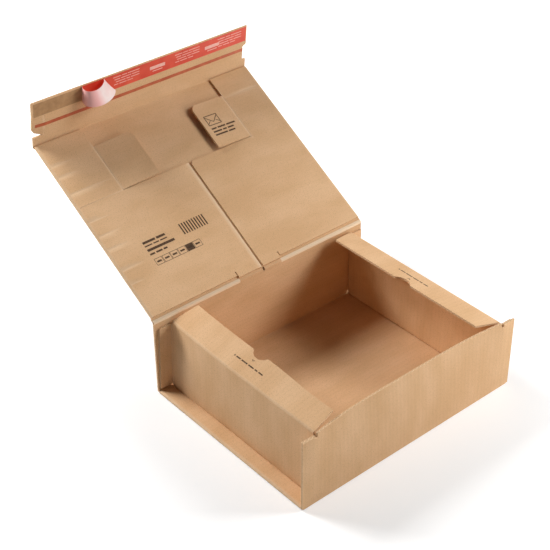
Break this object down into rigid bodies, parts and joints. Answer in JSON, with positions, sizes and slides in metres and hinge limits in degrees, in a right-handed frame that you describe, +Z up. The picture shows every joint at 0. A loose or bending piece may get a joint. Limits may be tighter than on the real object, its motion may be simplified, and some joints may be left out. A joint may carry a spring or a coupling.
{
  "type": "shipping carton",
  "caption": "Corrugated shipping carton with a hinged double lid, set-in side walls, dust flaps, a document pocket and a self-seal closing flap with tear strip.",
  "frame": {"origin": "centre of the carton's underside, on the surface that it stands on", "axes": "+X to the right seen from the front, +Y from the front wall to the back wall that carries the lid, +Z up"},
  "size_m": [0.363, 0.545, 0.3325],
  "materials": {
    "kraft_board": "matte",
    "glue": "matte",
    "tear_tape": "satin",
    "contact_glue": "gloss",
    "liner_paper": "satin"
  },
  "bodies": {
    "tray": {"tray": "kraft_board", "tray_glue": "glue"},
    "lid": {"lid": "kraft_board", "lid_glue": "glue"},
    "closing_flap": {"closing_flap": "kraft_board", "tear_strip": "tear_tape", "seal_strip": "contact_glue", "release_liner": "liner_paper"}
  },
  "joints": [
    {"name": "lid_hinge", "type": "hinge", "parent": "tray", "child": "lid", "pos_m": [0, 0.1442, 0.1164], "axis": [-1, 0, 0], "range_deg": [-150, 45], "deforming": ["release_liner"]},
    {"name": "flap_crease", "type": "hinge", "parent": "lid", "child": "closing_flap", "pos_m": [0, 0.39916, 0.2636], "axis": [1, 0, 0], "range_deg": [-66, 24]}
  ]
}
